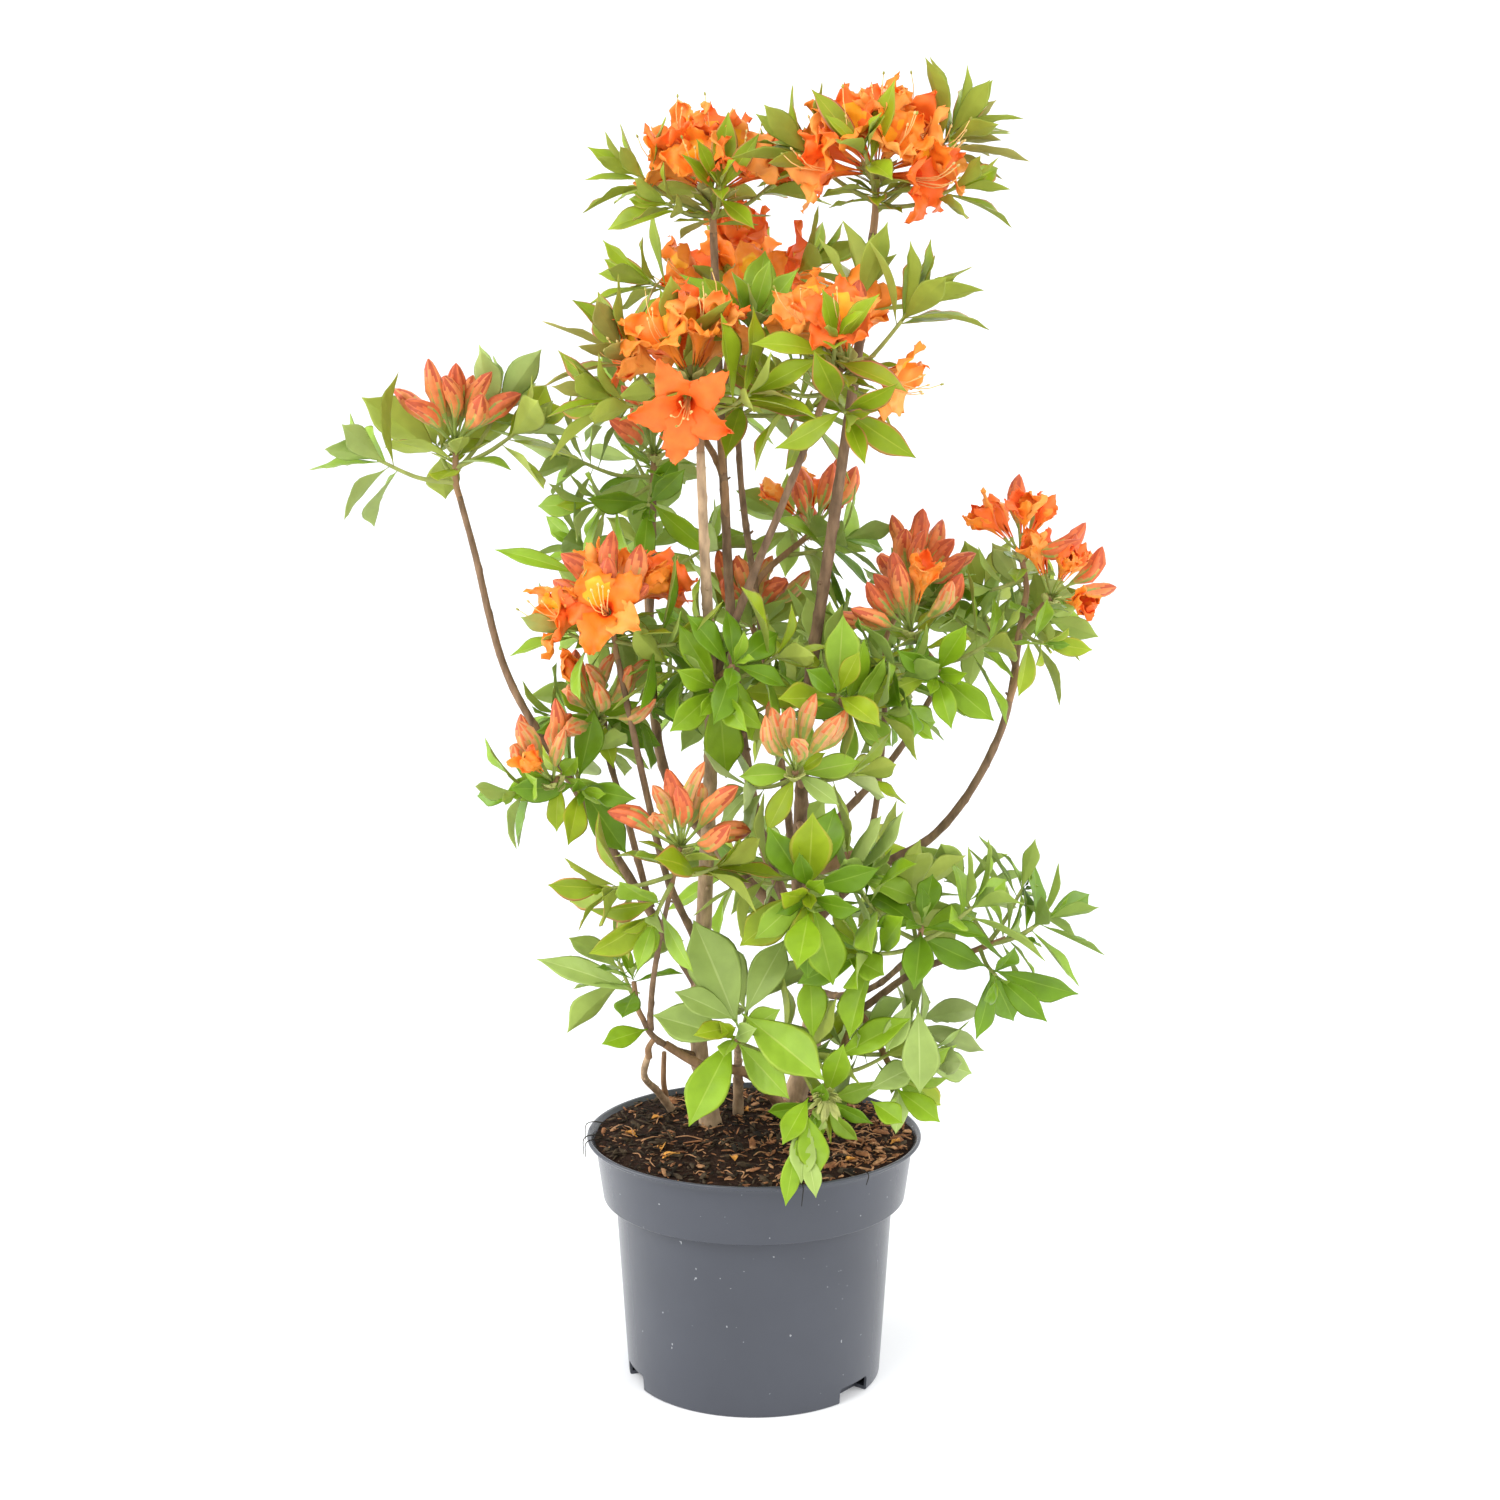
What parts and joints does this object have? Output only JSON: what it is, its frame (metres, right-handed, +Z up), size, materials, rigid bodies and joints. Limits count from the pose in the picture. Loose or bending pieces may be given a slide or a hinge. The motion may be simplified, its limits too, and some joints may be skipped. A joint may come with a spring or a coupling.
{
  "type": "azalea shrub in a pot",
  "caption": "Leggy deciduous azalea with orange trusses, pointed buds and fresh green leaf rosettes, growing in a round dark grey nursery pot.",
  "frame": {"origin": "centre of the pot's flat underside", "axes": "+Z up, -Y the front, +X to the right seen from the front"},
  "size_m": [0.5327, 0.3933, 0.8642],
  "materials": {
    "pot": "satin",
    "compost": "matte",
    "bark": "matte",
    "leaves": "satin",
    "petals": "matte",
    "buds": "matte"
  },
  "bodies": {
    "root": {"pot": "pot", "compost": "compost", "front_stem": "bark", "right_trunk": "bark", "bare_loop": "bark", "low_middle_stem": "bark", "low_left_bough": "bark", "front_low_bough": "bark", "far_left_bough": "bark", "left_inner_bough": "bark", "left_front_bough": "bark", "upper_right_bough": "bark", "right_bough": "bark", "left_bough": "bark", "top_left_bough": "bark", "grey_bough": "bark", "right_middle_bough": "bark", "far_right_bough": "bark", "right_upright_twig": "bark", "low_far_right_bough": "bark", "low_right_bough": "bark", "top_right_bloom": "petals", "top_left_bloom": "petals", "top_back_bloom": "petals", "upper_right_bloom": "petals", "centre_front_bloom": "petals", "upper_centre_leaves": "leaves", "far_left_bloom": "buds", "left_middle_bloom": "buds", "left_front_bloom": "petals", "left_inner_bloom": "buds", "low_left_bloom": "buds", "front_low_bloom": "buds", "front_stem_leaves": "leaves", "centre_back_bloom": "buds", "right_back_bloom": "buds", "right_front_bloom": "buds", "right_middle_bloom": "buds", "far_right_bloom": "buds", "far_right_side_bloom": "buds", "right_back_leaves": "leaves", "centre_low_bloom": "buds", "right_front_leaves": "leaves", "centre_back_leaves": "leaves", "low_right_leaves": "leaves", "far_low_right_leaves": "leaves", "low_centre_leaves": "leaves", "low_front_leaves": "leaves", "low_left_leaves": "leaves", "over_rim_leaves": "leaves", "low_right_front_leaves": "leaves", "back_left_leaves": "leaves", "back_top_leaves": "leaves", "back_right_leaves": "leaves", "back_low_leaves": "leaves"}
  },
  "joints": []
}
